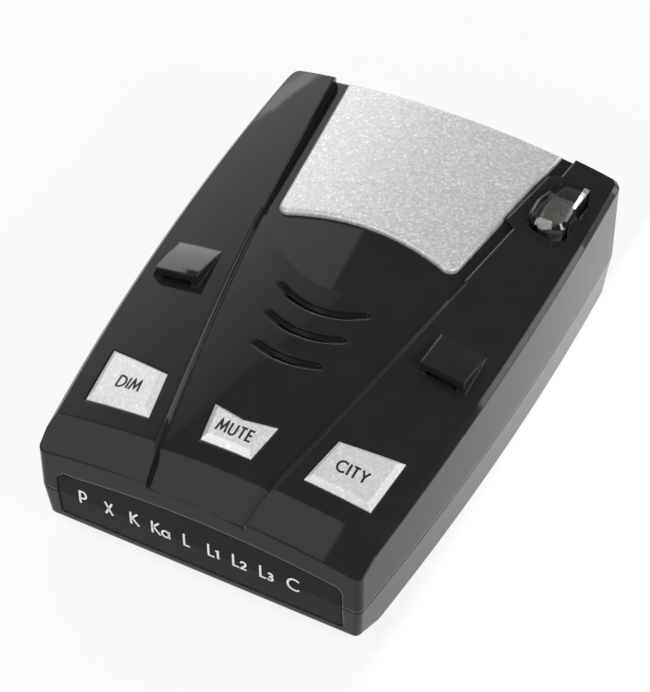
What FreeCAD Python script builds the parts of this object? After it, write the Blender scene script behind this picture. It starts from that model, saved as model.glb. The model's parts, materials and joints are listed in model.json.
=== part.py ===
import FreeCAD, Part
import math
import os
import Sketcher

# A dashboard radar and laser detector. The frame's origin is the centre of the flat underside.
# +Z is up, -Y faces the driver and +Y faces the road. All sizes are millimetres or degrees.

SIZES = {
    # plan of the case
    "case_length": 105.0,
    "front_width": 65.4,
    "rear_width": 72.0,
    "side_bulge": 2.1,
    "front_corner_radius": 1.4,
    "rear_corner_radius": 2.4,
    # heights and crowns of the case
    "parting_height": 11.6,
    "deck_height": 33.78,
    "deck_apex": 58.3,
    "deck_arc": 855.0,
    "deck_crown": 165.0,
    "ramp_height": 35.07,
    "ramp_apex": 75.5,
    "ramp_arc": 855.0,
    "ramp_crown": 87.5,
    "seat_height": 31.6,
    "crease_inset": 7.2,
    "brow_drop": 3.5,
    "edge_bevel": 1.0,
    "lower_draft": 5.5,
    "keel_length": 8.0,
    "keel_height": 3.6,
    "keel_inset": 2.6,
    "draft_allowance": 1.2,
    "bottom_radius": 1.4,
    "seam_height": 0.25,
    "seam_depth": 0.8,
    # sunken channel between the two wings
    "channel_front_half": 9.6,
    "channel_kink_half": 19.7,
    "channel_kink_y": 6.0,
    "channel_step": 0.9,
    "channel_rear_half": 26.6,
    "flare_width": 0.8,
    "flare_slope": 0.75,
    "flare_base": 20.0,
    "lens_shelf": 2.2,
    "shelf_lead": 1.6,
    "shelf_tail": 3.0,
    "shelf_ramp": 1.4,
    "kink_ease": 2.0,
    # walls
    "side_wall": 2.0,
    "front_wall": 4.6,
    "rear_wall": 2.0,
    "roof_wall": 3.3,
    "seat_wall": 2.0,
    "floor_wall": 2.0,
    # display window
    "window_half_width": 29.0,
    "window_bottom": 5.3,
    "window_top": 16.6,
    "window_thickness": 2.4,
    "window_top_radius": 1.8,
    "window_bottom_radius": 0.8,
    "window_gap": 0.15,
    "window_reveal": 0.12,
    # indicators behind the window
    "indicator_pitch": 5.4,
    "indicator_centre": -2.2,
    "indicator_height": 12.0,
    "indicator_width": 3.0,
    "indicator_depth": 3.2,
    "indicator_tall": 4.0,
    "indicator_cell_width": 4.6,
    "indicator_cell_height": 7.0,
    "baffle_side": 1.4,
    # push buttons
    "button_front": -41.2,
    "button_inner": 15.7,
    "button_outer": 28.9,
    "button_back_inner": -31.2,
    "button_back_outer": -29.3,
    "button_inner_back": 17.5,
    "button_outer_back": 29.9,
    "mute_front_half": 5.1,
    "mute_back_half": 6.4,
    "mute_back": -33.3,
    "mute_notch": 1.1,
    "button_rise": 1.05,
    "button_bevel": 1.05,
    "button_gap": 0.15,
    "button_flange": 0.9,
    "button_low": 20.3,
    "button_flange_thickness": 1.2,
    "button_travel": 0.5,
    "button_y": -35.8,
    "side_button_x": 22.9,
    "stem_radius": 1.6,
    "stem_gap": 0.05,
    # tact switches
    "switch_width": 6.0,
    "switch_body": 3.5,
    "actuator_radius": 1.75,
    "actuator_rise": 1.5,
    "actuator_depth": 1.6,
    "actuator_gap": 0.08,
    # badge plate
    "plate_thickness": 1.1,
    "plate_front": 12.2,
    "plate_front_half": 18.6,
    "plate_rear_half": 23.2,
    "plate_arc": 48.6,
    "plate_corner": 2.0,
    "plate_edge": 0.8,
    "plate_rear_gap": 0.5,
    # bracket lugs
    "lug_x": 27.5,
    "lug_front": -10.7,
    "lug_back": -0.7,
    "lug_base_half": 5.2,
    "lug_top_half": 4.1,
    "lug_lip_height": 31.55,
    "lug_lip_apex": -16.3,
    "lug_arc": 60.0,
    "lug_base_height": 26.0,
    "lug_top_height": 33.0,
    "lug_front_lean": 0.5,
    "slot_half_width": 3.1,
    "slot_bottom": 28.45,
    "slot_height": 1.1,
    "slot_depth": 7.5,
    # speaker and its louvres
    "speaker_y": -12.2,
    "speaker_radius": 13.0,
    "speaker_lean": 5.5,
    "speaker_top": 26.35,
    "speaker_depth": 4.4,
    "basket_wall": 1.5,
    "basket_floor": 0.6,
    "cone_gap": 0.3,
    "cone_thickness": 0.35,
    "felt_thickness": 0.5,
    "magnet_radius": 7.0,
    "magnet_depth": 3.0,
    "louvre_width": 2.1,
    "louvre_depth": 0.8,
    "louvre_slit": 0.9,
    "louvre_slit_inset": 0.95,
    "louvre_end_radius": 1.3,
    "rear_louvre_half": 10.4,
    "rear_louvre_sag": 3.6,
    "rear_louvre_front": -7.9,
    "rear_louvre_share": 0.66,
    "middle_louvre_half": 9.0,
    "middle_louvre_sag": 2.45,
    "middle_louvre_front": -13.9,
    "middle_louvre_share": 0.55,
    "front_louvre_half": 7.6,
    "front_louvre_sag": 1.4,
    "front_louvre_front": -20.3,
    "front_louvre_share": 0.37,
    # laser lens and its sensor
    "lens_x": 28.95,
    "lens_half_width": 3.95,
    "lens_back": 43.0,
    "lens_front": 30.6,
    "lens_top": 34.6,
    "lens_taper": 2.6,
    "lens_slant": 6.8,
    "lens_wall": 0.9,
    "lens_chamfer": 0.8,
    "lens_gap": 0.1,
    "lens_foot": 25.0,
    "lens_flange": 1.0,
    "lens_slope_run": 8.0,
    "lens_slope_drop": 0.9,
    "lens_nose_radius": 2.4,
    "sensor_board_thickness": 1.0,
    "diode_width": 4.3,
    "diode_length": 5.0,
    "diode_height": 4.0,
    "dimple_x": 31.85,
    "dimple_y": 29.7,
    "dimple_height": 30.3,
    "dimple_radius": 0.75,
    "dimple_depth": 0.6,
    # circuit boards
    "board_height": 9.4,
    "board_thickness": 1.6,
    "board_half_width": 29.8,
    "board_front": -44.2,
    "board_back": 49.0,
    "chip_x": 9.0,
    "chip_y": -11.0,
    "chip_width": 10.0,
    "chip_height": 1.5,
    "capacitor_x": 17.0,
    "capacitor_y": -2.0,
    "capacitor_pitch": 8.0,
    "capacitor_radius": 3.0,
    "capacitor_height": 7.0,
    "crystal_x": 16.0,
    "crystal_y": -22.0,
    "crystal_width": 4.6,
    "crystal_length": 11.0,
    "crystal_height": 3.4,
    "regulator_x": -13.0,
    "regulator_y": -2.0,
    "regulator_width": 6.6,
    "regulator_length": 6.2,
    "regulator_height": 2.3,
    # case screws and posts
    "front_screw_x": 25.6,
    "front_screw_y": -23.5,
    "rear_screw_x": 23.2,
    "rear_screw_y": 45.5,
    "screw_radius": 1.25,
    "screw_length": 13.0,
    "screw_head_radius": 2.4,
    "screw_head_height": 1.6,
    "screw_seat": 3.4,
    "screw_gap": 0.1,
    "drive_length": 2.6,
    "drive_width": 0.6,
    "drive_depth": 0.7,
    "post_radius": 2.6,
    "post_gap": 0.4,
    "foot_post_radius": 3.6,
    # horn antenna
    "horn_back": 49.6,
    "horn_mouth_half": 17.0,
    "horn_throat_half": 6.0,
    "horn_length": 34.0,
    "horn_height": 15.0,
    "horn_wall": 1.2,
    "horn_x": -3.0,
    "horn_throat_height": 7.0,
    "mixer_width": 18.0,
    "mixer_height": 11.2,
    "can_depth": 7.0,
    "can_height": 9.0,
    # power socket on the left side
    "socket_y": 8.0,
    "socket_bore": 1.8,
    "socket_bore_depth": 13.0,
    "socket_collar": 3.0,
    "socket_body": 8.4,
    "socket_length": 15.0,
    "socket_gap": 0.15,
    # volume wheel on the left side
    "wheel_y": -12.0,
    "wheel_radius": 7.0,
    "wheel_thickness": 2.4,
    "wheel_reach": 1.0,
    "wheel_lift": 2.2,
    "wheel_gap": 0.5,
    "wheel_shaft": 1.5,
    "wheel_bore_gap": 0.05,
    "wheel_ribs": 30.0,
    "wheel_rib_radius": 0.35,
    "control_width": 9.0,
    # underside label
    "label_length": 40.0,
    "label_width": 34.0,
    "label_recess": 0.3,
    "label_thickness": 0.2,
    "label_y": 25.0,
}

doc = FreeCAD.newDocument("RadarDetector")
sheet = doc.addObject("Spreadsheet::Sheet", "Sizes")


class Size:
    """A number together with the spreadsheet formula that it comes from."""

    def __init__(self, number, formula):
        self.number = float(number)
        self.formula = formula

    def join(self, sign, other, number):
        return Size(number, f"({self.formula} {sign} {as_size(other).formula})")

    def __add__(self, other):
        return self.join("+", other, self.number + as_size(other).number)

    def __sub__(self, other):
        return self.join("-", other, self.number - as_size(other).number)

    def __mul__(self, other):
        return self.join("*", other, self.number * as_size(other).number)

    def __truediv__(self, other):
        return self.join("/", other, self.number / as_size(other).number)

    def __radd__(self, other):
        return as_size(other) + self

    def __rsub__(self, other):
        return as_size(other) - self

    def __rmul__(self, other):
        return as_size(other) * self

    def __neg__(self):
        return Size(-self.number, f"(0 - {self.formula})")


def as_size(value):
    return value if isinstance(value, Size) else Size(value, repr(float(value)))


def square_root(size):
    return Size(math.sqrt(size.number), f"sqrt({size.formula})")


class Named:
    """Holds every spreadsheet size under its own name."""


d = Named()
for row, (alias, number) in enumerate(SIZES.items(), start=1):
    cell = f"B{row}"
    sheet.set(cell, str(number))
    sheet.setAlias(cell, alias)
    setattr(d, alias, Size(number, f"Sizes.{alias}"))
doc.recompute()

half_length = d.case_length / 2
front_half = d.front_width / 2
rear_half = d.rear_width / 2
crease_y = d.crease_inset - half_length
board_top = d.board_height + d.board_thickness
socket_z = board_top + d.socket_body / 2
side_chord = d.case_length * d.case_length + (rear_half - front_half) * (rear_half - front_half)
side_radius = (side_chord / 4 + d.side_bulge * d.side_bulge) / (d.side_bulge * 2)
SKY = as_size(60.0)
WIDE = as_size(60.0)
FLUSH = as_size(0.0)
PARTS = {}


def bind(thing, path, size):
    """Gives a property its value and ties it to the spreadsheet."""
    thing.setExpression(path, as_size(size).formula)


def move(thing, x=0.0, y=0.0, z=0.0, path="Placement"):
    for letter, size in zip("xyz", (x, y, z)):
        bind(thing, f"{path}.Base.{letter}", size)


def piece(name, thing):
    """Names a finished sub-part; its label is its file's name."""
    thing.Label = name
    PARTS[name] = thing
    return thing


# ---------------------------------------------------------------- sketch helpers


def new_sketch(body, name, role, x=0.0, y=0.0, offset=0.0):
    """Starts a sketch on one of the body's own planes, shifted by x, y and offset."""
    sketch = body.newObject("Sketcher::SketchObject", name)
    plane = [item for item in body.Origin.OriginFeatures if item.Role == role][0]
    sketch.AttachmentSupport = [(plane, "")]
    sketch.MapMode = "FlatFace"
    numbers = [as_size(value).number for value in (x, y, offset)]
    sketch.AttachmentOffset = FreeCAD.Placement(FreeCAD.Vector(*numbers), FreeCAD.Rotation())
    move(sketch, x, y, offset, "AttachmentOffset")
    return sketch


def lock_point(sketch, index, position, x, y):
    """Ties a point of the sketch to its two coordinates."""
    for kind, size in (("DistanceX", x), ("DistanceY", y)):
        rule = Sketcher.Constraint(kind, -1, 1, index, position, as_size(size).number)
        number = sketch.addConstraint(rule)
        sketch.setExpression(f"Constraints[{number}]", as_size(size).formula)


def arc_between(first, second, radius):
    """An arc from first to second; a positive radius bulges to the right of the way."""
    chord = second.sub(first)
    left = FreeCAD.Vector(-chord.y, chord.x, 0).normalize()
    rise = math.sqrt(max(radius * radius - chord.Length * chord.Length / 4, 0.0))
    centre = first.add(second).multiply(0.5).add(left.multiply(math.copysign(rise, radius)))
    middle_way = first.add(second).multiply(0.5).sub(centre).normalize()
    middle = centre.add(middle_way.multiply(abs(radius)))
    return Part.Arc(first, middle, second)


def close_outline(sketch, points, bends=None):
    """Joins points by lines, or by arcs where bends gives an edge's signed radius."""
    bends = bends or {}
    spots = [FreeCAD.Vector(as_size(x).number, as_size(y).number, 0) for x, y in points]
    starts = []
    ends = []
    for index, spot in enumerate(spots):
        following = spots[(index + 1) % len(spots)]
        if index in bends:
            radius = as_size(bends[index])
            number = sketch.addGeometry(arc_between(spot, following, radius.number), False)
            rule = sketch.addConstraint(Sketcher.Constraint("Radius", number, abs(radius.number)))
            sketch.setExpression(f"Constraints[{rule}]", f"abs({radius.formula})")
            flipped = radius.number < 0
        else:
            number = sketch.addGeometry(Part.LineSegment(spot, following), False)
            flipped = False
        starts.append((number, 2 if flipped else 1))
        ends.append((number, 1 if flipped else 2))
    for index, (x, y) in enumerate(points):
        before = ends[index - 1]
        sketch.addConstraint(Sketcher.Constraint("Coincident", *before, *starts[index]))
        lock_point(sketch, *starts[index], x, y)


def add_circle(sketch, x, y, radius):
    centre = FreeCAD.Vector(as_size(x).number, as_size(y).number, 0)
    circle = Part.Circle(centre, FreeCAD.Vector(0, 0, 1), as_size(radius).number)
    number = sketch.addGeometry(circle, False)
    rule = sketch.addConstraint(Sketcher.Constraint("Radius", number, as_size(radius).number))
    sketch.setExpression(f"Constraints[{rule}]", as_size(radius).formula)
    lock_point(sketch, number, 3, x, y)


def rectangle(low_x, low_y, high_x, high_y):
    return [(low_x, low_y), (high_x, low_y), (high_x, high_y), (low_x, high_y)]


# ---------------------------------------------------------------- feature helpers


def new_body(name):
    return doc.addObject("PartDesign::Body", name)


def add_feature(body, kind, name, sketch, length=None, **settings):
    """Adds a Pad, Pocket or Groove made from a sketch."""
    feature = body.newObject(f"PartDesign::{kind}", name)
    feature.Profile = sketch
    for key, value in settings.items():
        setattr(feature, key, value)
    if length is not None:
        bind(feature, "Length", length)
    sketch.Visibility = False
    doc.recompute()
    return feature


def edges_where(shape, test):
    return [f"Edge{number}" for number, edge in enumerate(shape.Edges, 1) if test(edge)]


def is_upright(edge):
    ends = edge.Vertexes
    flat = math.hypot(ends[-1].X - ends[0].X, ends[-1].Y - ends[0].Y)
    return len(ends) == 2 and flat < 0.2 * abs(ends[-1].Z - ends[0].Z)


def is_front_corner(edge):
    return is_upright(edge) and edge.CenterOfMass.y < -half_length.number / 2


def is_rear_corner(edge):
    return is_upright(edge) and edge.CenterOfMass.y > half_length.number / 2


def dress(body, kind, name, test, size):
    """Adds a Fillet or Chamfer on the edges of the body's tip that pass the test."""
    base = body.Tip
    feature = body.newObject(f"PartDesign::{kind}", name)
    feature.Base = (base, edges_where(base.Shape, test))
    bind(feature, "Radius" if kind == "Fillet" else "Size", size)
    doc.recompute()
    return feature


def use_tool(body, name, tool, kind="Cut"):
    """Cuts away, joins or keeps what the body shares with another body."""
    feature = body.newObject("PartDesign::Boolean", name)
    feature.Type = kind
    feature.setObjects([tool])
    doc.recompute()
    return feature


def crown_points(height, radius):
    """The region above an arc whose crest lies at height, as wide as anything in the case."""
    shoulder = height - radius + square_root(radius * radius - WIDE * WIDE)
    return [(-WIDE, shoulder), (WIDE, shoulder), (WIDE, height + SKY), (-WIDE, height + SKY)]


def cut_above_dome(body, name, apex_y, apex_z, long_arc, crown):
    """Cuts away what lies above a surface that is arched both along Y and across X."""
    sketch = new_sketch(body, name + "_profile", "XZ_Plane", 0, apex_z - long_arc, -apex_y)
    close_outline(sketch, crown_points(long_arc, crown), {0: -crown})
    groove = add_feature(body, "Groove", name, sketch, ReferenceAxis=(sketch, ["H_Axis"]))
    groove.Midplane = True
    reach = min(WIDE.number * 3 / long_arc.number, 0.95)
    groove.Angle = math.degrees(math.asin(reach)) * 2
    doc.recompute()
    return groove


def crest_height(y, apex_y, apex_z, long_arc):
    """The height at y of the crest of such a surface."""
    reach = y - apex_y
    return apex_z - long_arc + square_root(long_arc * long_arc - reach * reach)


def cut_above_slope(body, name, start_y, start_z, crown, run, drop):
    """Cuts away what lies above a crowned surface that falls from start_y towards -Y."""
    sketch = new_sketch(body, name + "_profile", "XZ_Plane", 0, 0, -start_y)
    close_outline(sketch, crown_points(start_z, crown), {0: -crown})
    pocket = add_feature(body, "Pocket", name, sketch, UseCustomVector=True, Reversed=True)
    pocket.AlongSketchNormal = False
    bind(pocket, "Direction.y", run)
    bind(pocket, "Direction.z", drop)
    bind(pocket, "Length", run * 3)
    doc.recompute()
    return pocket


def cut_above_level(body, name, height, crown):
    """Cuts away what lies above a crowned surface that is level along Y."""
    sketch = new_sketch(body, name + "_profile", "XZ_Plane")
    close_outline(sketch, crown_points(height, crown), {0: -crown})
    return add_feature(body, "Pocket", name, sketch, WIDE * 4, Midplane=True)


def plan_outline(sketch, side, front, rear):
    """The case's plan, drawn in by side, front and rear."""
    low = front - half_length
    high = half_length - rear
    points = [
        (side - front_half, low),
        (front_half - side, low),
        (rear_half - side, high),
        (side - rear_half, high),
    ]
    close_outline(sketch, points, {1: side_radius, 3: side_radius})


# ---------------------------------------------------------------- primitive helpers


def make_box(name, low, size):
    block = doc.addObject("Part::Box", name)
    for letter, length in zip(("Length", "Width", "Height"), size):
        bind(block, letter, length)
    move(block, *low)
    return block


AXES = {
    "x": FreeCAD.Rotation(FreeCAD.Vector(0, 1, 0), 90),
    "y": FreeCAD.Rotation(FreeCAD.Vector(1, 0, 0), -90),
    "z": FreeCAD.Rotation(),
}


def make_cylinder(name, base, radius, height, axis="z"):
    rod = doc.addObject("Part::Cylinder", name)
    bind(rod, "Radius", radius)
    bind(rod, "Height", height)
    rod.Placement = FreeCAD.Placement(FreeCAD.Vector(), AXES[axis])
    move(rod, *base)
    return rod


def centred_box(name, x, y, low_z, width, length, height):
    low = (as_size(x) - as_size(width) / 2, as_size(y) - as_size(length) / 2, low_z)
    return make_box(name, low, (width, length, height))


def join(name, shapes):
    union = doc.addObject("Part::MultiFuse", name)
    union.Shapes = shapes
    return union


def cut(name, base, tool):
    result = doc.addObject("Part::Cut", name)
    result.Base = base
    result.Tool = tool
    return result


def group(name, shapes):
    bundle = doc.addObject("Part::Compound", name)
    bundle.Links = shapes
    return bundle


# ---------------------------------------------------------------- case


SCREWS = [
    (d.front_screw_x, d.front_screw_y),
    (-d.front_screw_x, d.front_screw_y),
    (d.rear_screw_x, d.rear_screw_y),
    (-d.rear_screw_x, d.rear_screw_y),
]


def window_outline(sketch, margin):
    """The display window seen from the front, grown by margin."""
    side = d.window_half_width + margin
    low = d.window_bottom - margin
    high = d.window_top + margin
    big = d.window_top_radius + margin
    small = d.window_bottom_radius + margin
    points = [
        (small - side, low),
        (side - small, low),
        (side, low + small),
        (side, high - big),
        (side - big, high),
        (big - side, high),
        (-side, high - big),
        (-side, low + small),
    ]
    close_outline(sketch, points, {1: small, 3: big, 4: d.deck_crown, 5: big, 7: small})


def front_pocket(body, name, margin, depth):
    """The recess that the display window sits in."""
    sketch = new_sketch(body, name + "_profile", "XZ_Plane", 0, 0, half_length)
    window_outline(sketch, margin)
    return add_feature(body, "Pocket", name, sketch, depth)


def light_gate(body, name):
    """The opening behind the window that the indicators shine through."""
    half_row = d.indicator_pitch * 4 + d.indicator_cell_width / 2 + d.baffle_side + d.window_gap
    half_cell = d.indicator_cell_height / 2 + d.baffle_side + d.window_gap
    sketch = new_sketch(body, name + "_profile", "XZ_Plane", 0, 0, half_length)
    corners = rectangle(
        d.indicator_centre - half_row,
        d.indicator_height - half_cell,
        d.indicator_centre + half_row,
        d.indicator_height + half_cell,
    )
    close_outline(sketch, corners)
    return add_feature(body, "Pocket", name, sketch, d.front_wall + d.keel_inset)


def channel_prism():
    """The plan of the sunken channel, with the shelf that carries the laser lens on its right."""
    body = new_body("ChannelPrism")
    front = -half_length - d.side_wall
    rear = half_length + d.rear_wall
    kink = d.channel_kink_y
    mouth = d.channel_front_half
    shelf_front = d.lens_front - d.shelf_lead
    shelf_rear = d.lens_back + d.shelf_tail
    slope = (d.channel_rear_half - d.channel_kink_half - d.channel_step) / (half_length - kink)
    front_edge = d.channel_kink_half + d.channel_step + slope * (shelf_front - kink)
    rear_edge = d.channel_kink_half + d.channel_step + slope * (shelf_rear - kink)
    points = [
        (-mouth, front),
        (mouth, front),
        (d.channel_kink_half, kink),
        (d.channel_kink_half + d.channel_step, kink + d.kink_ease),
        (front_edge, shelf_front),
        (front_edge - d.lens_shelf, shelf_front + d.shelf_ramp),
        (rear_edge - d.lens_shelf, shelf_rear - d.shelf_ramp),
        (rear_edge, shelf_rear),
        (d.channel_rear_half, rear),
        (-d.channel_rear_half, rear),
        (-d.channel_kink_half - d.channel_step, kink + d.kink_ease),
        (-d.channel_kink_half, kink),
    ]
    sketch = new_sketch(body, "channel_plan", "XY_Plane", 0, 0, d.parting_height)
    close_outline(sketch, points)
    add_feature(body, "Pad", "channel_height", sketch, SKY)
    return body


def deck_surface(x, y):
    """The wings' height at a point of the plan."""
    reach = y - d.deck_apex
    return d.deck_height - reach * reach / (d.deck_arc * 2) - x * x / (d.deck_crown * 2)


def channel_flare():
    """Leans back the front stretch of the channel's walls."""
    body = new_body("ChannelFlare")
    mouth_top = d.channel_front_half + d.flare_width
    kink_top = d.channel_kink_half + d.flare_width
    mouth_rise = deck_surface(mouth_top, -half_length) - d.flare_base
    kink_rise = deck_surface(kink_top, d.channel_kink_y) - d.flare_base
    mouth = mouth_top - mouth_rise * d.flare_slope
    kink = kink_top - kink_rise * d.flare_slope
    sketch = new_sketch(body, "flare_plan", "XY_Plane", 0, 0, d.flare_base)
    points = [
        (-mouth, -half_length),
        (mouth, -half_length),
        (kink, d.channel_kink_y - d.kink_ease),
        (-kink, d.channel_kink_y - d.kink_ease),
    ]
    close_outline(sketch, points)
    pad = add_feature(body, "Pad", "flare_height", sketch, d.deck_height - d.flare_base)
    angle = Size(math.degrees(math.atan(d.flare_slope.number)), f"atan({d.flare_slope.formula})")
    bind(pad, "TaperAngle", angle)
    doc.recompute()
    return body


def ramp_crest(y):
    """The ramp's height on the centre line."""
    return crest_height(y, d.ramp_apex, d.ramp_height, d.ramp_arc)


def channel_floor():
    """A block whose top is the channel's floor: ramp, badge seat and sloping brow."""
    body = new_body("ChannelFloor")
    sketch = new_sketch(body, "floor_plan", "XY_Plane", 0, 0, 0)
    close_outline(sketch, rectangle(-WIDE, -WIDE * 2, WIDE, WIDE * 2))
    add_feature(body, "Pad", "floor_block", sketch, SKY)
    cut_above_dome(body, "ramp", d.ramp_apex, d.ramp_height, d.ramp_arc, d.ramp_crown)
    cut_above_level(body, "seat", d.seat_height, d.deck_crown)
    start = ramp_crest(crease_y)
    cut_above_slope(body, "ramp_brow", crease_y, start, d.ramp_crown, d.crease_inset, d.brow_drop)
    return body


def upper_cavity():
    """The hollow inside the upper case, with its screw posts left standing."""
    body = new_body("UpperCavity")
    sketch = new_sketch(body, "cavity_plan", "XY_Plane", 0, 0, 0)
    plan_outline(sketch, d.side_wall, d.front_wall, d.rear_wall)
    for x, y in SCREWS:
        add_circle(sketch, x, y, d.post_radius)
    add_feature(body, "Pad", "cavity_height", sketch, SKY)
    lowered = d.deck_height - d.roof_wall
    cut_above_dome(body, "ceiling", d.deck_apex, lowered, d.deck_arc, d.deck_crown)
    cut_above_level(body, "seat_ceiling", d.seat_height - d.seat_wall, d.deck_crown)
    return body


def lug_block(side):
    """One hooded bracket lug: drafted sides, an arched top and an upright mouth."""
    body = new_body("LugBlock")
    base_low = new_sketch(body, "lug_base", "XY_Plane", d.lug_x * side, 0, d.lug_base_height)
    low = rectangle(-d.lug_base_half, d.lug_front, d.lug_base_half, d.lug_back)
    close_outline(base_low, low)
    top = new_sketch(body, "lug_top", "XY_Plane", d.lug_x * side, 0, d.lug_top_height)
    front = d.lug_front + d.lug_front_lean
    high = rectangle(-d.lug_top_half, front, d.lug_top_half, d.lug_back)
    close_outline(top, high)
    loft = body.newObject("PartDesign::AdditiveLoft", "lug_loft")
    loft.Profile = base_low
    loft.Sections = [top]
    loft.Ruled = True
    doc.recompute()
    crest = d.lug_lip_height + d.lug_x * d.lug_x / (d.deck_crown * 2)
    cut_above_dome(body, "lug_hood", d.lug_lip_apex, crest, d.lug_arc, d.deck_crown)
    return body


def lug_slot(body, side):
    """The thin slot under a lug's hood that a bracket's tongue slides into."""
    centre = d.lug_x * side
    name = "right_slot" if side > 0 else "left_slot"
    drop = d.slot_half_width * d.lug_x / d.deck_crown
    inner = d.slot_bottom + drop
    outer = d.slot_bottom - drop
    sketch = new_sketch(body, name + "_profile", "XZ_Plane", centre, 0, -d.lug_front)
    low_left, low_right = (inner, outer) if side > 0 else (outer, inner)
    points = [
        (-d.slot_half_width, low_left),
        (d.slot_half_width, low_right),
        (d.slot_half_width, low_right + d.slot_height),
        (-d.slot_half_width, low_left + d.slot_height),
    ]
    close_outline(sketch, points)
    return add_feature(body, "Pocket", name, sketch, d.slot_depth)


def button_outline(sketch, name, margin):
    """A button's plan, grown by margin."""
    front = d.button_front - margin
    if name == "mute":
        wide = d.mute_back_half + margin
        points = [
            (-d.mute_front_half - margin, front),
            (d.mute_front_half + margin, front),
            (wide, d.mute_back + margin),
            (0, d.mute_back - d.mute_notch + margin),
            (-wide, d.mute_back + margin),
        ]
    else:
        points = [
            (d.button_inner - margin, front),
            (d.button_outer + margin, front),
            (d.button_outer_back + margin, d.button_back_outer + margin),
            (d.button_inner_back - margin, d.button_back_inner + margin),
        ]
    if name == "dim":
        points = [(-x, y) for x, y in reversed(points)]
    close_outline(sketch, points)


BUTTONS = {"dim": -d.side_button_x, "mute": as_size(0.0), "city": d.side_button_x}


LOUVRES = ("rear", "middle", "front")


def louvre_arc(name):
    """The radius of a louvre's front edge and the y of its centre."""
    half_chord = getattr(d, name + "_louvre_half")
    sag = getattr(d, name + "_louvre_sag")
    radius = (half_chord * half_chord + sag * sag) / (sag * 2)
    return radius, getattr(d, name + "_louvre_front") + radius


def louvre_sweep(body, name, part, points, share):
    """Cuts a profile round a louvre's arc, over a share of its whole angle."""
    radius, centre = louvre_arc(name)
    sketch = new_sketch(body, f"{name}_{part}_profile", "YZ_Plane", centre, 0, 0)
    close_outline(sketch, points)
    groove = add_feature(body, "Groove", f"{name}_{part}", sketch)
    groove.ReferenceAxis = (sketch, ["V_Axis"])
    groove.Midplane = True
    reach = getattr(d, name + "_louvre_half").number / radius.number
    groove.Angle = math.degrees(math.asin(reach)) * 2 * share
    doc.recompute()


def louvre_floor(body, name):
    """A smile-shaped recess whose floor slopes down to its back wall."""
    radius, _ = louvre_arc(name)
    roof = ramp_crest(getattr(d, name + "_louvre_front"))
    back = d.louvre_width - radius
    points = [
        (-radius, roof + d.louvre_depth),
        (-radius, roof),
        (back, roof - d.louvre_depth),
        (back, roof + d.louvre_depth),
    ]
    louvre_sweep(body, name, "floor", points, 1.0)


def louvre_slit(body, name):
    """The slit through the louvre's floor, shorter than the recess."""
    radius, _ = louvre_arc(name)
    roof = ramp_crest(getattr(d, name + "_louvre_front"))
    near = d.louvre_slit_inset - d.louvre_slit / 2 - radius
    low = roof - d.roof_wall * 2
    points = rectangle(near, low, near + d.louvre_slit, roof + d.louvre_depth)
    louvre_sweep(body, name, "slit", points, getattr(d, name + "_louvre_share").number)


def is_louvre_end(edge):
    """Whether an edge is the upright corner at one end of a louvre's back wall."""
    spot = edge.CenterOfMass
    for name in LOUVRES:
        radius, centre = louvre_arc(name)
        back = radius.number - d.louvre_width.number
        x = back * getattr(d, name + "_louvre_half").number / radius.number
        y = centre.number - math.sqrt(back * back - x * x)
        if math.hypot(abs(spot.x) - x, spot.y - y) < 0.1:
            return is_upright(edge)
    return False


def wall_x(y):
    """How far the case's outer side wall stands from the middle at y."""
    along = (y + half_length) / d.case_length
    bulge = d.side_bulge * (1 - y * y / (half_length * half_length))
    return front_half + (rear_half - front_half) * along + bulge


def side_opening(body, name, y, z, radius):
    """A round hole through the left wall."""
    sketch = new_sketch(body, name + "_profile", "YZ_Plane", 0, 0, -rear_half - d.side_bulge)
    add_circle(sketch, y, z, radius)
    depth = d.side_wall + d.side_bulge * 2
    return add_feature(body, "Pocket", name, sketch, depth, Reversed=True)


def wheel_centre():
    """The volume wheel's centre, set so that its rim stands proud of the left wall."""
    return d.wheel_radius - wall_x(d.wheel_y) - d.wheel_reach


def wheel_slot(body):
    """The slot across the parting line in the left wall that the volume wheel stands in."""
    low = board_top - d.wheel_gap
    high = board_top + d.wheel_lift + d.wheel_thickness + d.wheel_gap
    depth_in = d.wheel_radius - d.wheel_reach - d.side_wall
    half = square_root(d.wheel_radius * d.wheel_radius - depth_in * depth_in) + d.wheel_gap
    sketch = new_sketch(body, "wheel_slot_profile", "YZ_Plane", 0, 0, -rear_half - d.side_bulge)
    close_outline(sketch, rectangle(d.wheel_y - half, low, d.wheel_y + half, high))
    return add_feature(body, "Pocket", "wheel_slot", sketch, d.wheel_radius, Reversed=True)


def lens_outline(sketch, margin):
    """The laser lens in plan: a straight back, one slanted side and a rounded nose."""
    left = d.lens_x - d.lens_half_width - margin
    right = d.lens_x + d.lens_half_width + margin
    front = d.lens_front - margin
    back = d.lens_back + margin
    nose = d.lens_nose_radius + margin
    points = [
        (left + nose, front),
        (right - nose, front),
        (right, front + nose),
        (right, back),
        (left + d.lens_taper, back),
        (left, back - d.lens_slant),
        (left, front + nose),
    ]
    close_outline(sketch, points, {1: nose, 6: nose})


def lens_opening(body):
    """The hole in the right wing that the laser lens comes up through."""
    sketch = new_sketch(body, "lens_opening_profile", "XY_Plane", 0, 0, d.lens_top)
    lens_outline(sketch, d.lens_gap)
    return add_feature(body, "Pocket", "lens_opening", sketch, d.lens_top - d.lens_foot)


def on_deck_rim(edge):
    """Edges where the wings' tops meet the side walls."""
    middle = edge.valueAt((edge.FirstParameter + edge.LastParameter) / 2)
    high = middle.z > d.parting_height.number + 5
    outside = abs(middle.x) > front_half.number - 1.0
    long = edge.Length > 40
    return high and outside and long


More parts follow.
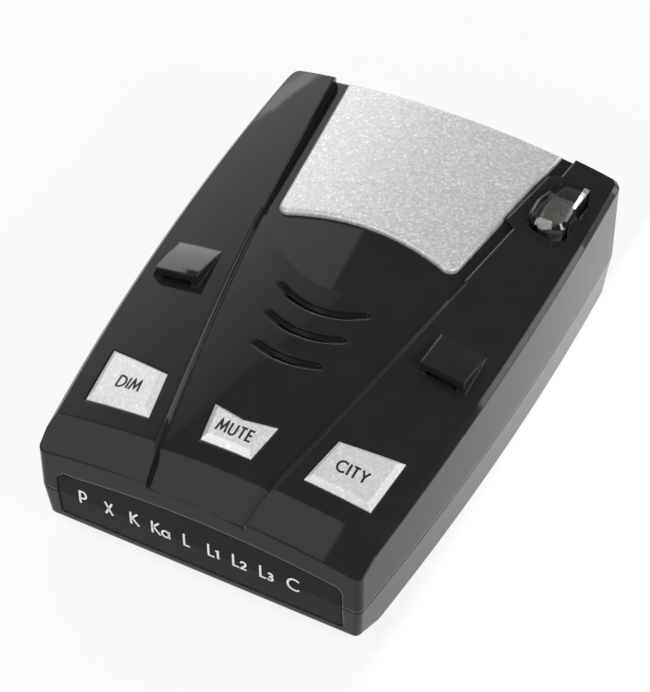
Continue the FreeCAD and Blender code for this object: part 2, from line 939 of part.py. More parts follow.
def make_upper_housing():
    body = new_body("UpperHousing")
    sketch = new_sketch(body, "upper_plan", "XY_Plane", 0, 0, d.parting_height)
    plan_outline(sketch, FLUSH, FLUSH, FLUSH)
    add_feature(body, "Pad", "upper_height", sketch, SKY)
    dress(body, "Fillet", "front_corners", is_front_corner, d.front_corner_radius)
    dress(body, "Fillet", "rear_corners", is_rear_corner, d.rear_corner_radius)
    cut_above_dome(body, "deck", d.deck_apex, d.deck_height, d.deck_arc, d.deck_crown)
    start = crest_height(crease_y, d.deck_apex, d.deck_height, d.deck_arc)
    cut_above_slope(body, "brow", crease_y, start, d.deck_crown, d.crease_inset, d.brow_drop)
    dress(body, "Chamfer", "rim_bevel", on_deck_rim, d.edge_bevel)
    prism = channel_prism()
    use_tool(prism, "channel_shape", channel_floor())
    use_tool(body, "channel", prism)
    flare = channel_flare()
    use_tool(flare, "flare_shape", channel_floor())
    use_tool(body, "channel_flare", flare)
    for side in (-1, 1):
        use_tool(body, "lug", lug_block(side), "Fuse")
    use_tool(body, "hollow", upper_cavity())
    for side in (-1, 1):
        lug_slot(body, side)
    front_pocket(body, "window_recess", d.window_gap, d.window_thickness + d.window_gap)
    light_gate(body, "light_gate")
    for name in BUTTONS:
        hole = new_sketch(body, name + "_hole_plan", "XY_Plane", 0, 0, SKY)
        button_outline(hole, name, d.button_gap)
        add_feature(body, "Pocket", name + "_hole", hole, SKY - d.button_low)
    for name in LOUVRES:
        louvre_floor(body, name)
    dress(body, "Fillet", "louvre_ends", is_louvre_end, d.louvre_end_radius)
    for name in LOUVRES:
        louvre_slit(body, name)
    lens_opening(body)
    side_opening(body, "socket_hole", d.socket_y, socket_z, d.socket_collar + d.socket_gap)
    wheel_slot(body)
    dimple = new_sketch(body, "dimple_plan", "XY_Plane", 0, 0, SKY)
    add_circle(dimple, d.dimple_x, d.dimple_y, d.dimple_radius)
    add_feature(body, "Pocket", "dimple", dimple, SKY - d.dimple_height + d.dimple_depth)
    posts = new_sketch(body, "post_plan", "XY_Plane", 0, 0, d.board_height)
    pilots = new_sketch(body, "pilot_plan", "XY_Plane", 0, 0, d.board_height)
    for x, y in SCREWS:
        add_circle(posts, x, y, d.post_radius)
        add_circle(pilots, x, y, d.screw_radius + d.screw_gap / 2)
    depth = d.screw_seat + d.screw_length + d.post_gap - d.board_height
    add_feature(body, "Pad", "post_ends", posts, depth)
    add_feature(body, "Pocket", "pilot_holes", pilots, depth, Reversed=True)
    return piece("upper_housing", body)


def lower_cavity():
    """The hollow inside the lower case, with the posts that carry the board left standing."""
    body = new_body("LowerCavity")
    front = d.front_wall + d.keel_inset
    low = new_sketch(body, "low_plan", "XY_Plane", 0, 0, d.floor_wall)
    plan_outline(low, d.side_wall + d.draft_allowance, front, d.rear_wall + d.draft_allowance)
    for x, y in SCREWS:
        add_circle(low, x, y, d.foot_post_radius)
    add_feature(body, "Pad", "low_room", low, d.board_height - d.floor_wall)
    high = new_sketch(body, "high_plan", "XY_Plane", 0, 0, d.board_height)
    plan_outline(high, d.side_wall, front, d.rear_wall)
    add_feature(body, "Pad", "high_room", high, d.parting_height)
    return body


def is_bottom_edge(edge):
    """Whether an edge runs round the underside, other than the crease where the keel starts."""
    middle = edge.valueAt((edge.FirstParameter + edge.LastParameter) / 2)
    low = edge.BoundBox.ZMax < d.keel_height.number + d.keel_inset.number
    crease = d.keel_length.number - half_length.number
    return low and not (abs(middle.y - crease) < 0.1 and abs(middle.x) < 1)


def make_lower_housing():
    body = new_body("LowerHousing")
    sketch = new_sketch(body, "lower_plan", "XY_Plane", 0, 0, d.parting_height)
    plan_outline(sketch, FLUSH, FLUSH, FLUSH)
    pad = add_feature(body, "Pad", "lower_depth", sketch, d.parting_height, Reversed=True)
    bind(pad, "TaperAngle", -d.lower_draft)
    doc.recompute()
    dress(body, "Fillet", "front_corners", is_front_corner, d.front_corner_radius)
    dress(body, "Fillet", "rear_corners", is_rear_corner, d.rear_corner_radius)
    keel = new_sketch(body, "keel_profile", "YZ_Plane")
    start = d.keel_length - half_length
    reach = -half_length - d.keel_inset
    high = d.keel_height * (start - reach) / d.keel_length
    low = -d.keel_height
    close_outline(keel, [(start, 0), (reach, high), (reach, low), (start, low)])
    add_feature(body, "Pocket", "keel", keel, WIDE * 4, Midplane=True)
    dress(body, "Fillet", "bottom_edges", is_bottom_edge, d.bottom_radius)
    seam = new_sketch(body, "seam_plan", "XY_Plane", 0, 0, d.parting_height)
    plan_outline(seam, -d.seam_depth, -d.seam_depth, -d.seam_depth)
    plan_outline(seam, d.seam_depth, d.seam_depth, d.seam_depth)
    add_feature(body, "Pocket", "parting_seam", seam, d.seam_height)
    use_tool(body, "hollow", lower_cavity())
    front_pocket(body, "window_recess", d.window_gap, d.window_thickness + d.window_gap)
    light_gate(body, "light_gate")
    wheel_slot(body)
    wells = new_sketch(body, "well_plan", "XY_Plane")
    shafts = new_sketch(body, "shaft_plan", "XY_Plane")
    for x, y in SCREWS:
        add_circle(wells, x, y, d.screw_head_radius + d.screw_gap)
        add_circle(shafts, x, y, d.screw_radius + d.screw_gap)
    add_feature(body, "Pocket", "screw_wells", wells, d.screw_seat, Reversed=True)
    add_feature(body, "Pocket", "screw_shafts", shafts, d.parting_height, Reversed=True)
    label = new_sketch(body, "label_plan", "XY_Plane")
    close_outline(label, label_corners(d.window_gap))
    add_feature(body, "Pocket", "label_recess", label, d.label_recess, Reversed=True)
    return piece("lower_housing", body)


def label_corners(margin):
    half_x = d.label_width / 2 + margin
    half_y = d.label_length / 2 + margin
    return rectangle(-half_x, d.label_y - half_y, half_x, d.label_y + half_y)


def make_rating_label():
    body = new_body("RatingLabel")
    low = d.label_recess - d.label_thickness
    sketch = new_sketch(body, "label_outline", "XY_Plane", 0, 0, low)
    close_outline(sketch, label_corners(FLUSH))
    add_feature(body, "Pad", "label_sheet", sketch, d.label_thickness)
    return piece("rating_label", body)


def make_display_window():
    """A smoked panel whose face follows the upright brow and the drafted lower case."""
    body = new_body("DisplayWindow")
    face = half_length - d.window_reveal
    sketch = new_sketch(body, "window_face", "XZ_Plane", 0, 0, face)
    window_outline(sketch, FLUSH)
    depth = d.window_thickness - d.window_reveal
    add_feature(body, "Pad", "window_sheet", sketch, depth, Reversed=True)
    slant = Size(
        math.tan(math.radians(d.lower_draft.number)), f"tan({d.lower_draft.formula} * 1 deg)"
    )
    chin = new_sketch(body, "chin_profile", "YZ_Plane")
    corners = [
        (-face, d.parting_height),
        (-face, 0),
        (slant * d.parting_height - face, 0),
    ]
    close_outline(chin, corners)
    add_feature(body, "Pocket", "chin", chin, WIDE * 4, Midplane=True)
    return piece("display_window", body)


def make_badge_plate():
    """The silver plate on the rear half of the channel, with a hollowed front edge."""
    body = new_body("BadgePlate")
    sketch = new_sketch(body, "plate_plan", "XY_Plane", 0, 0, d.flare_base)
    rear = half_length - d.plate_rear_gap
    points = [
        (-d.plate_front_half, d.plate_front),
        (d.plate_front_half, d.plate_front),
        (d.plate_rear_half, rear),
        (-d.plate_rear_half, rear),
    ]
    close_outline(sketch, points, {0: -d.plate_arc})
    add_feature(body, "Pad", "plate_height", sketch, SKY)
    dress(body, "Fillet", "plate_corners", is_plate_corner, d.plate_corner)
    cut_above_level(body, "plate_top", d.seat_height + d.plate_thickness, d.deck_crown)
    seat = new_body("PlateSeat")
    block = new_sketch(seat, "seat_plan", "XY_Plane")
    close_outline(block, rectangle(-WIDE, -WIDE, WIDE, WIDE))
    add_feature(seat, "Pad", "seat_block", block, SKY)
    cut_above_level(seat, "seat_top", d.seat_height, d.deck_crown)
    use_tool(body, "plate_underside", seat)
    dress(body, "Fillet", "plate_rim", is_plate_rim, d.plate_edge)
    return piece("badge_plate", body)


def is_plate_corner(edge):
    return is_upright(edge) and edge.CenterOfMass.y < half_length.number / 2


def is_plate_rim(edge):
    """Whether an edge runs along the rim of the plate's crowned top."""
    height = d.seat_height.number + d.plate_thickness.number
    for share in (0.1, 0.5, 0.9):
        reach = edge.FirstParameter + (edge.LastParameter - edge.FirstParameter) * share
        spot = edge.valueAt(reach)
        if abs(spot.z - height + spot.x * spot.x / (2 * d.deck_crown.number)) > 0.12:
            return False
    return edge.Length > d.plate_corner.number


# ---------------------------------------------------------------- buttons and switches


def make_button(name, centre):
    """A bevelled cap that follows the deck, with a retaining flange and a long stem."""
    body = new_body(name.capitalize() + "Button")
    low = d.button_low
    flange = new_sketch(body, "flange_plan", "XY_Plane", 0, 0, low)
    button_outline(flange, name, d.button_flange)
    add_feature(body, "Pad", "flange", flange, SKY)
    under = d.deck_height - d.roof_wall - d.button_gap
    cut_above_dome(body, "flange_top", d.deck_apex, under, d.deck_arc, d.deck_crown)
    cap = new_sketch(body, "cap_plan", "XY_Plane", 0, 0, low)
    button_outline(cap, name, FLUSH)
    add_feature(body, "Pad", "cap", cap, SKY)
    if name == "mute":
        crest = d.ramp_height + d.button_rise
        cut_above_dome(body, "cap_top", d.ramp_apex, crest, d.ramp_arc, d.ramp_crown)
    else:
        crest = d.deck_height + d.button_rise
        cut_above_dome(body, "cap_top", d.deck_apex, crest, d.deck_arc, d.deck_crown)
    cap_top = body.Tip
    faces = cap_top.Shape.Faces
    top_face = max(range(len(faces)), key=lambda number: faces[number].CenterOfMass.z)
    bevel = body.newObject("PartDesign::Chamfer", "cap_bevel")
    bevel.Base = (cap_top, [f"Face{top_face + 1}"])
    bind(bevel, "Size", d.button_bevel)
    doc.recompute()
    room = new_sketch(body, "room_plan", "XY_Plane", 0, 0, low)
    button_outline(room, name, -d.button_flange_thickness)
    add_feature(body, "Pocket", "room", room, d.button_flange_thickness * 2, Reversed=True)
    stem_low = board_top + d.switch_body + d.actuator_rise + d.stem_gap
    stem = new_sketch(body, "stem_plan", "XY_Plane", 0, 0, stem_low)
    add_circle(stem, centre, d.button_y, d.stem_radius)
    add_feature(body, "Pad", "stem", stem, low - stem_low + d.button_flange_thickness * 3)
    return piece(name + "_button", body)


def make_switch(name, centre):
    """A tact switch's body, with the well that its actuator slides in."""
    width = d.switch_width
    block = centred_box("block", centre, d.button_y, board_top, width, width, d.switch_body)
    well_low = board_top + d.switch_body - d.actuator_depth
    base = (centre, d.button_y, well_low)
    radius = d.actuator_radius + d.actuator_gap
    well = make_cylinder("well", base, radius, d.actuator_depth * 2)
    piece(name + "_switch", cut("switch", block, well))
    rod_low = board_top + d.switch_body - d.actuator_depth + d.button_travel * 1.2
    rod_high = board_top + d.switch_body + d.actuator_rise
    base = (centre, d.button_y, rod_low)
    rod = make_cylinder("actuator", base, d.actuator_radius, rod_high - rod_low)
    piece(name + "_actuator", rod)


# ---------------------------------------------------------------- boards and electronics


def make_main_board():
    body = new_body("MainBoard")
    sketch = new_sketch(body, "board_plan", "XY_Plane", 0, 0, d.board_height)
    corners = rectangle(-d.board_half_width, d.board_front, d.board_half_width, d.board_back)
    close_outline(sketch, corners)
    for x, y in SCREWS:
        add_circle(sketch, x, y, d.post_radius + d.post_gap)
    add_feature(body, "Pad", "board_sheet", sketch, d.board_thickness)
    return piece("main_board", body)


def indicator_x(index):
    return d.indicator_centre + d.indicator_pitch * (index - 4)


def make_indicators():
    low = d.indicator_height - d.indicator_tall / 2
    width = d.indicator_width
    depth = d.indicator_depth
    y = d.board_front - depth / 2
    lamps = []
    for index in range(9):
        x = indicator_x(index)
        lamps.append(centred_box("lamp", x, y, low, width, depth, d.indicator_tall))
    return piece("indicator_lamps", group("lamps", lamps))


def make_light_baffle():
    """The opaque comb that keeps each indicator's light in its own cell."""
    body = new_body("LightBaffle")
    half_row = d.indicator_pitch * 4 + d.indicator_cell_width / 2 + d.baffle_side
    half_tall = d.indicator_cell_height / 2 + d.baffle_side
    centre = d.indicator_centre
    height = d.indicator_height
    front = half_length - d.window_thickness - d.window_gap * 2
    sketch = new_sketch(body, "comb_face", "XZ_Plane", 0, 0, front)
    corners = rectangle(
        centre - half_row, height - half_tall, centre + half_row, height + half_tall
    )
    close_outline(sketch, corners)
    half_cell = d.indicator_cell_width / 2
    half_open = d.indicator_cell_height / 2
    for index in range(9):
        x = indicator_x(index)
        cell = rectangle(x - half_cell, height - half_open, x + half_cell, height + half_open)
        close_outline(sketch, cell)
    depth = front + d.board_front - d.window_gap
    add_feature(body, "Pad", "comb", sketch, depth, Reversed=True)
    return piece("light_baffle", body)


def make_horn():
    """A flared antenna horn, open towards the road, that stands on the main board."""
    body = new_body("Horn")
    spots = ((d.horn_back, d.horn_mouth_half, d.horn_height),)
    spots += ((d.horn_back - d.horn_length, d.horn_throat_half, d.horn_throat_height),)
    for kind, inset, low in (
        ("AdditiveLoft", FLUSH, board_top),
        ("SubtractiveLoft", d.horn_wall, board_top + d.horn_wall),
    ):
        sketches = []
        for y, half, tall in spots:
            name = f"{kind}_section{len(sketches)}"
            sketch = new_sketch(body, name, "XZ_Plane", d.horn_x, 0, -y)
            corners = rectangle(inset - half, low, half - inset, board_top + tall - inset)
            close_outline(sketch, corners)
            sketches.append(sketch)
        loft = body.newObject(f"PartDesign::{kind}", kind)
        loft.Profile = sketches[0]
        loft.Sections = [sketches[1]]
        loft.Ruled = True
        doc.recompute()
    return piece("horn_antenna", body)


def make_rf_pieces():
    """The mixer board across the horn's throat and the shield can in front of it."""
    throat = d.horn_back - d.horn_length
    thickness = d.sensor_board_thickness
    width = d.mixer_width
    y = throat - thickness / 2
    mixer = centred_box("mixer", d.horn_x, y, board_top, width, thickness, d.mixer_height)
    piece("mixer_board", mixer)
    depth = d.can_depth
    can_y = throat - thickness - depth / 2
    can = centred_box("can", d.horn_x, can_y, board_top, width, depth, d.can_height)
    wall = thickness / 2
    room = (width - wall * 2, depth, d.can_height)
    inside = centred_box("can_room", d.horn_x, can_y + wall, board_top - wall, *room)
    piece("shield_can", cut("can_shell", can, inside))


def make_board_pieces():
    """Chips and other parts that stand on the main board."""
    chip = (d.chip_width, d.chip_width, d.chip_height)
    piece("microcontroller", centred_box("chip", d.chip_x, d.chip_y, board_top, *chip))
    cans = []
    for y in (d.capacitor_y, d.capacitor_y + d.capacitor_pitch):
        base = (d.capacitor_x, y, board_top)
        cans.append(make_cylinder("electrolytic", base, d.capacitor_radius, d.capacitor_height))
    piece("capacitors", group("capacitor_pair", cans))
    can = (d.crystal_width, d.crystal_length, d.crystal_height)
    piece("crystal", centred_box("crystal_can", d.crystal_x, d.crystal_y, board_top, *can))
    block = (d.regulator_width, d.regulator_length, d.regulator_height)
    regulator = centred_box("regulator", d.regulator_x, d.regulator_y, board_top, *block)
    piece("voltage_regulator", regulator)


def make_power_socket():
    """A miniature power jack: its collar shows in the left wall."""
    wall = wall_x(d.socket_y)
    face = d.socket_gap * 2 - wall
    body_face = d.side_wall + d.socket_gap * 4 - wall
    base = (face, d.socket_y, socket_z)
    collar = make_cylinder("collar", base, d.socket_collar, d.side_wall * 2, "x")
    low = (body_face, d.socket_y - d.socket_body / 2, board_top)
    case = make_box("jack_case", low, (d.socket_length, d.socket_body, d.socket_body))
    bore = make_cylinder("jack_bore", base, d.socket_bore, d.socket_bore_depth, "x")
    piece("power_socket", cut("jack", join("jack_solid", [collar, case]), bore))


def make_volume_pieces():
    """A thumbwheel on a potentiometer that switches the power and sets the volume."""
    centre = wheel_centre()
    low = board_top + d.wheel_lift
    body = new_body("VolumeWheel")
    sketch = new_sketch(body, "wheel_plan", "XY_Plane", centre, d.wheel_y, low)
    add_circle(sketch, 0, 0, d.wheel_radius)
    add_circle(sketch, 0, 0, d.wheel_shaft + d.wheel_bore_gap)
    add_feature(body, "Pad", "wheel_disc", sketch, d.wheel_thickness)
    notch = new_sketch(body, "notch_plan", "XY_Plane", centre, d.wheel_y, low)
    add_circle(notch, d.wheel_radius, 0, d.wheel_rib_radius)
    cut_notch = add_feature(body, "Pocket", "notch", notch, d.wheel_thickness, Reversed=True)
    ring = body.newObject("PartDesign::PolarPattern", "notches")
    ring.Originals = [cut_notch]
    ring.Axis = (sketch, ["N_Axis"])
    ring.Angle = 360
    bind(ring, "Occurrences", d.wheel_ribs)
    body.Tip = ring
    doc.recompute()
    piece("volume_wheel", body)
    case_height = d.wheel_lift - d.wheel_gap
    width = d.control_width
    case = centred_box("pot", centre, d.wheel_y, board_top, width, width, case_height)
    hole_radius = d.wheel_shaft + d.wheel_bore_gap
    hole = make_cylinder("pot_hole", (centre, d.wheel_y, board_top), hole_radius, case_height)
    piece("volume_control", cut("pot_case", case, hole))
    shaft_low = board_top + d.wheel_bore_gap
    height = low + d.wheel_thickness + d.wheel_gap / 2 - shaft_low
    shaft = make_cylinder("pot_shaft", (centre, d.wheel_y, shaft_low), d.wheel_shaft, height)
    piece("volume_shaft", shaft)


# ---------------------------------------------------------------- speaker


def lean(thing):
    """Tilts a speaker piece, built flat about its own centre, to lie along the ramp."""
    turn = FreeCAD.Rotation(FreeCAD.Vector(1, 0, 0), d.speaker_lean.number)
    thing.Placement = FreeCAD.Placement(FreeCAD.Vector(), turn)
    bind(thing, "Placement.Rotation.Angle", d.speaker_lean * Size(1, "1 deg"))
    move(thing, 0, d.speaker_y, d.speaker_top)


def make_speaker():
    """A basket, a paper cone, a magnet behind them and a disc of felt against dust."""
    rim = d.speaker_radius - d.basket_wall
    depth = d.speaker_depth
    basket = make_cylinder("basket", (0, 0, -depth), d.speaker_radius, depth)
    inside = make_cylinder("basket_room", (0, 0, d.basket_floor - depth), rim, depth)
    frame = piece("speaker_frame", cut("speaker_basket", basket, inside))
    lean(frame)
    outer = doc.addObject("Part::Cone", "cone_outside")
    inner = doc.addObject("Part::Cone", "cone_inside")
    low = d.basket_floor + d.cone_thickness - depth
    for cone, lift in ((outer, FLUSH), (inner, d.cone_thickness)):
        bind(cone, "Radius1", d.magnet_radius)
        bind(cone, "Radius2", rim - d.cone_gap)
        bind(cone, "Height", -low - d.cone_thickness * 2)
        move(cone, 0, 0, low + lift)
    lean(piece("speaker_cone", cut("paper_cone", outer, inner)))
    magnet_low = -depth - d.magnet_depth
    magnet = make_cylinder("magnet", (0, 0, magnet_low), d.magnet_radius, d.magnet_depth)
    lean(piece("speaker_magnet", group("magnet_place", [magnet])))
    felt = make_cylinder("felt", (0, 0, 0), d.speaker_radius - d.felt_thickness, d.felt_thickness)
    lean(piece("dust_felt", group("felt_place", [felt])))


# ---------------------------------------------------------------- laser receiver and screws


def make_laser_lens():
    """A clear hood with a sloping roof and a rounded nose, held from inside by a flange."""
    body = new_body("LaserLens")
    hood = new_sketch(body, "hood_plan", "XY_Plane", 0, 0, d.lens_foot)
    lens_outline(hood, as_size(0.0))
    add_feature(body, "Pad", "hood", hood, d.lens_top - d.lens_foot)
    roof = new_sketch(body, "roof_profile", "YZ_Plane")
    start = d.lens_front + d.lens_slope_run
    front = d.lens_front - d.lens_chamfer
    low = d.lens_top - d.lens_slope_drop * (start - front) / d.lens_slope_run
    high = d.lens_top + d.lens_chamfer
    close_outline(roof, [(start, d.lens_top), (start, high), (front, high), (front, low)])
    add_feature(body, "Pocket", "roof_slope", roof, WIDE * 4, Midplane=True)
    dress(body, "Chamfer", "roof_edges", is_roof_rim, d.lens_chamfer)
    flange = new_sketch(body, "flange_plan", "XY_Plane", 0, 0, d.lens_foot)
    lens_outline(flange, d.lens_wall)
    add_feature(body, "Pad", "flange", flange, d.lens_flange)
    room = new_sketch(body, "room_plan", "XY_Plane", 0, 0, d.lens_foot)
    lens_outline(room, -d.lens_wall)
    depth = d.lens_top - d.lens_foot - d.lens_wall - d.lens_slope_drop
    add_feature(body, "Pocket", "room", room, depth, Reversed=True)
    return piece("laser_lens", body)


def is_roof_rim(edge):
    """Whether an edge is on the lens's roof, other than the crease between its two planes."""
    box = edge.BoundBox
    crease = d.lens_front.number + d.lens_slope_run.number
    across = box.YLength < 0.1 and abs(box.YMin - crease) < 0.5
    return box.ZMin > d.lens_top.number - d.lens_slope_drop.number * 1.6 and not across


def make_laser_sensor():
    """A diode in a block under the hood, on a small board of its own."""
    thickness = d.sensor_board_thickness
    y = (d.lens_front + d.lens_back) / 2
    x = d.lens_x
    low = d.lens_foot - thickness
    width = d.lens_half_width * 2
    board = centred_box("diode_board", x, y, low, width, d.lens_back - d.lens_front, thickness)
    piece("sensor_board", board)
    diode_y = y - d.lens_wall * 2
    block_size = (d.diode_width, d.diode_length, d.diode_height)
    block = centred_box("diode", x, diode_y, d.lens_foot, *block_size)
    base = (x, diode_y - d.diode_length / 2, d.lens_foot + d.diode_height)
    bulb = make_cylinder("bulb", base, d.diode_width / 2, d.diode_length, "y")
    piece("laser_sensor", join("diode_block", [block, bulb]))


def make_screws():
    screws = []
    for x, y in SCREWS:
        head_low = d.screw_seat - d.screw_head_height
        head = make_cylinder("head", (x, y, head_low), d.screw_head_radius, d.screw_head_height)
        shank = make_cylinder("shank", (x, y, d.screw_seat), d.screw_radius, d.screw_length)
        long, thin, deep = d.drive_length, d.drive_width, d.drive_depth
        slot = centred_box("drive", x, y, head_low, long, thin, deep)
        cross = centred_box("drive", x, y, head_low, thin, long, deep)
        solid = join("screw_solid", [head, shank])
        screws.append(cut("screw", solid, join("screw_drive", [slot, cross])))
    return piece("case_screws", group("screws", screws))


# ---------------------------------------------------------------- building and writing


def build():
    make_upper_housing()
    make_lower_housing()
    make_display_window()
    make_badge_plate()
    make_rating_label()
    for name, centre in BUTTONS.items():
        make_button(name, centre)
        make_switch(name, centre)
    make_main_board()
    make_indicators()
    make_light_baffle()
    make_horn()
    make_rf_pieces()
    make_board_pieces()
    make_power_socket()
    make_volume_pieces()
    make_speaker()
    make_laser_lens()
    make_laser_sensor()
    make_screws()
    doc.recompute()


def write():
    for thing in doc.Objects:
        if "Invalid" in thing.State or "Error" in thing.State:
            raise RuntimeError(f"{thing.Name} ({thing.Label}) failed: {thing.State}")
    for name, thing in PARTS.items():
        shape = thing.Shape
        if shape.isNull() or not shape.isValid() or not shape.Solids:
            raise RuntimeError(f"{name} has no valid solid")
    os.makedirs("parts", exist_ok=True)
    for name, thing in PARTS.items():
        thing.Shape.exportStep(os.path.join("parts", name + ".step"))


build()
write()
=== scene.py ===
import json
import math

import bpy
import numpy as np
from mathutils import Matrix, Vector
from mathutils.bvhtree import BVHTree


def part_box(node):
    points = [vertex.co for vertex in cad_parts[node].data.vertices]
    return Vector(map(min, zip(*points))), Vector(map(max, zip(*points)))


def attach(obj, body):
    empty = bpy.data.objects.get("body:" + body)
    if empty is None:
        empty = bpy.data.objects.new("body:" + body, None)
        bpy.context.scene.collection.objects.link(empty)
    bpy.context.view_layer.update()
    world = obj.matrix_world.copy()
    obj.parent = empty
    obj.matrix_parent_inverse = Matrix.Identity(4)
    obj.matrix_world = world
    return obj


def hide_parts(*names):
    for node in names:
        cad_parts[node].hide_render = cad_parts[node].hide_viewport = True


# Looks, lights and camera for the dashboard radar and laser detector.
# +Z is up, -Y faces the driver and +Y faces the road. Lengths are metres; MM turns millimetres
# into metres.

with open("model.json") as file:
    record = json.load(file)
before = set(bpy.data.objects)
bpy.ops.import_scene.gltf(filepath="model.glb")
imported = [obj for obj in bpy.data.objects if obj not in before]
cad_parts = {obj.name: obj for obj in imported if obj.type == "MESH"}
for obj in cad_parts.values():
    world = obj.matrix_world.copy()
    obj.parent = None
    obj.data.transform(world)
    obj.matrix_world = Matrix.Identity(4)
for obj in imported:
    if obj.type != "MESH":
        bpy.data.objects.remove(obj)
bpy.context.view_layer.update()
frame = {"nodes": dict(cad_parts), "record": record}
MM = 0.001


# ---------------------------------------------------------------- materials


class Look:
    """A procedural material: one Principled shader and the nodes that feed it."""

    def __init__(self, name):
        self.material = bpy.data.materials.new(name)
        self.material.use_nodes = True
        self.tree = self.material.node_tree
        self.shader = self.tree.nodes["Principled BSDF"]
        place = self.tree.nodes.new("ShaderNodeTexCoord")
        self.place = place.outputs["Object"]

    def node(self, kind, **settings):
        made = self.tree.nodes.new("ShaderNode" + kind)
        for key, value in settings.items():
            setattr(made, key, value)
        return made

    def link(self, source, target):
        self.tree.links.new(source, target)

    def put(self, **values):
        """Sets sockets of the shader; an underscore in a name stands for a space."""
        for key, value in values.items():
            self.shader.inputs[key.replace("_", " ")].default_value = value

    def noise(self, size_mm, detail=3.0, stretch=(1, 1, 1)):
        """A noise whose features are about size_mm across."""
        mapping = self.node("Mapping")
        mapping.inputs["Scale"].default_value = stretch
        self.link(self.place, mapping.inputs["Vector"])
        texture = self.node("TexNoise")
        texture.inputs["Scale"].default_value = 1.0 / (size_mm * MM)
        texture.inputs["Detail"].default_value = detail
        self.link(mapping.outputs["Vector"], texture.inputs["Vector"])
        return texture.outputs["Fac"]

    def cells(self, size_mm):
        """A random colour for each cell about size_mm across."""
        texture = self.node("TexVoronoi")
        texture.inputs["Scale"].default_value = 1.0 / (size_mm * MM)
        self.link(self.place, texture.inputs["Vector"])
        return texture.outputs["Color"]

    def spread(self, source, low, high, to_low, to_high):
        """Maps the range low..high of a number to to_low..to_high."""
        ranged = self.node("MapRange")
        for key, value in zip(
            ("From Min", "From Max", "To Min", "To Max"), (low, high, to_low, to_high)
        ):
            ranged.inputs[key].default_value = value
        self.link(source, ranged.inputs["Value"])
        return ranged.outputs["Result"]

    def tint(self, source, first, second, low=0.3, high=0.7):
        """Feeds the base colour with a blend of two colours."""
        ramp = self.node("ValToRGB")
        ramp.color_ramp.elements[0].position = low
        ramp.color_ramp.elements[0].color = (*first, 1)
        ramp.color_ramp.elements[1].position = high
        ramp.color_ramp.elements[1].color = (*second, 1)
        self.link(source, ramp.inputs["Fac"])
        self.link(ramp.outputs["Color"], self.shader.inputs["Base Color"])

    def rough(self, source, low, high):
        self.link(self.spread(source, 0.3, 0.7, low, high), self.shader.inputs["Roughness"])

    def bump(self, source, height_mm, strength=1.0):
        bump = self.node("Bump")
        bump.inputs["Distance"].default_value = height_mm * MM
        bump.inputs["Strength"].default_value = strength
        self.link(source, bump.inputs["Height"])
        self.link(bump.outputs["Normal"], self.shader.inputs["Normal"])
        return bump

    def soften(self, bump, radius_mm):
        """Rounds sharp edges in the shading by a small radius."""
        bevel = self.node("Bevel", samples=6)
        bevel.inputs["Radius"].default_value = radius_mm * MM
        self.link(bevel.outputs["Normal"], bump.inputs["Normal"])


CASE_EDGE = 0.6
SILVER_EDGE = 0.2
SPECK_FROM = 0.86
SPECK_GAIN = 0.55


def gloss_case(name, dark, light, low, high, index):
    """Glossy moulded plastic, whose sharp edges are rounded in the shading."""
    look = Look(name)
    look.tint(look.noise(6.0), dark, light)
    look.rough(look.noise(1.3, 4.0), low, high)
    look.soften(look.bump(look.noise(0.5, 2.0), 0.0006), CASE_EDGE)
    look.put(IOR=index)
    return look.material


def silver(name, dark, light, metal):
    """Silver paint with mottled flakes and sparse bright specks."""
    look = Look(name)
    mottle = look.noise(0.7, 4.0)
    flakes = look.cells(0.34)
    cell = look.node("SeparateColor")
    look.link(flakes, cell.inputs["Color"])
    total = look.node("Math", operation="ADD", use_clamp=True)
    look.link(look.spread(mottle, 0.3, 0.7, 0.2, 0.6), total.inputs[0])
    look.link(look.spread(cell.outputs["Red"], SPECK_FROM, 1.0, 0.0, SPECK_GAIN), total.inputs[1])
    look.tint(total.outputs["Value"], dark, light, 0.0, 1.0)
    look.rough(mottle, 0.34, 0.44)
    look.soften(look.bump(flakes, 0.006, 0.6), SILVER_EDGE)
    look.put(Metallic=metal)
    return look.material


def plain(name, dark, light, low, high, size_mm=1.0, bump_mm=0.004, **values):
    """A moulded, cast or printed surface: two close tones, uneven gloss and fine relief."""
    look = Look(name)
    grain = look.noise(size_mm, 4.0)
    look.tint(grain, dark, light)
    look.rough(look.noise(size_mm * 2.3), low, high)
    look.bump(grain, bump_mm)
    look.put(**values)
    return look.material


def brushed(name, dark, light, low, high, **values):
    """Drawn or rolled metal with long fine scratches."""
    look = Look(name)
    scratch = look.noise(0.2, 5.0, (1, 0.05, 0.3))
    look.tint(scratch, dark, light)
    look.rough(scratch, low, high)
    look.bump(scratch, 0.003)
    look.put(Metallic=1.0, **values)
    return look.material


def clear(name):
    """Clear acrylic."""
    look = Look(name)
    look.rough(look.noise(0.8), 0.01, 0.05)
    look.put(Base_Color=(0.93, 0.94, 0.93, 1), Transmission_Weight=1.0, IOR=1.49)
    look.bump(look.noise(1.5), 0.001)
    return look.material


